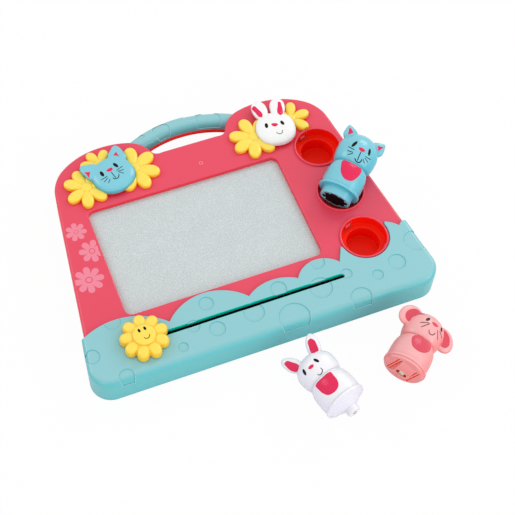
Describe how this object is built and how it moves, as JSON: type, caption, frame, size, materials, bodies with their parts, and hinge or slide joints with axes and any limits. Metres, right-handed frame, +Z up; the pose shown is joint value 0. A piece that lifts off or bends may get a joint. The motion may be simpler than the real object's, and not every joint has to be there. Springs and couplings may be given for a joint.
{
  "type": "magnetic drawing board",
  "caption": "Child's magnetic drawing board with a sliding eraser, carry handle, cups for stampers, and loose animal stampers: one leans in its cup, two lie in front.",
  "frame": {"origin": "on the board's underside, on the centre line between its slanted sides, below the middle of the window's height", "axes": "+X to the right along the window's long side, +Y away from the viewer towards the handle, +Z up from the floor"},
  "size_m": [0.3535, 0.3745, 0.0715],
  "materials": {
    "pink_red": "satin moulded plastic",
    "cup_red": "glossy moulded plastic",
    "teal": "satin moulded plastic",
    "yellow": "glossy moulded plastic",
    "sky_blue": "glossy moulded plastic",
    "white": "glossy moulded plastic",
    "pale_pink": "glossy moulded plastic",
    "screen_grey": "translucent plastic film over a fine speckle",
    "core_grey": "plastic cell layer",
    "magnet": "matt black magnetic rubber",
    "tip_metal": "nickel-plated magnet",
    "steel": "plated steel"
  },
  "bodies": {
    "board": {"front_frame": "pink_red", "lower_skirt": "teal", "handle_cover": "teal", "back_cover": "pink_red", "stamper_cup_back": "cup_red", "stamper_cup_middle": "cup_red", "stamper_cup_front": "cup_red", "cat_badge": "sky_blue", "cat_badge_flowers": "yellow", "rabbit_badge": "white", "rabbit_badge_flowers": "yellow", "screen_front_sheet": "screen_grey", "screen_honeycomb": "core_grey", "screen_back_sheet": "screen_grey", "screen_retainer": "white", "tray_screw_1": "steel", "tray_screw_2": "steel", "tray_screw_3": "steel", "tray_screw_4": "steel", "tray_screw_5": "steel", "tray_screw_6": "steel", "tray_screw_7": "steel", "handle_screw_1": "steel", "handle_screw_2": "steel"},
    "eraser": {"eraser_slider": "white", "eraser_magnet": "magnet", "flower_knob": "yellow", "knob_screw": "steel"},
    "cat_stamper": {"cat_head": "sky_blue", "cat_body": "sky_blue", "cat_base": "sky_blue", "cat_stamp_magnet": "magnet"},
    "rabbit_pen": {"rabbit_head": "white", "rabbit_body": "white", "rabbit_base": "white", "rabbit_tip": "tip_metal"},
    "mouse_stamper": {"mouse_head": "pale_pink", "mouse_body": "pale_pink", "mouse_base": "pale_pink", "mouse_axle": "steel"},
    "mouse_roller_body": {"mouse_magnet_roller": "tip_metal"}
  },
  "joints": [
    {"name": "eraser_slide", "type": "slide", "parent": "board", "child": "eraser", "axis": [1, 0, 0], "range_m": [0, 0.19652]},
    {"name": "cat_stamper_lift", "type": "slide", "parent": "board", "child": "cat_stamper", "axis": [0, 0, 1], "range_m": [0, 0.12]},
    {"name": "rabbit_pen_lift", "type": "slide", "parent": "board", "child": "rabbit_pen", "axis": [0, 0, 1], "range_m": [0, 0.1]},
    {"name": "mouse_stamper_lift", "type": "slide", "parent": "board", "child": "mouse_stamper", "axis": [0, 0, 1], "range_m": [0, 0.1]},
    {"name": "mouse_roller_spin", "type": "hinge", "parent": "mouse_stamper", "child": "mouse_roller_body", "pos_m": [0.09723, -0.20176, 0.0216], "axis": [0.5819, -0.7133, -0.3906], "continuous": true}
  ]
}
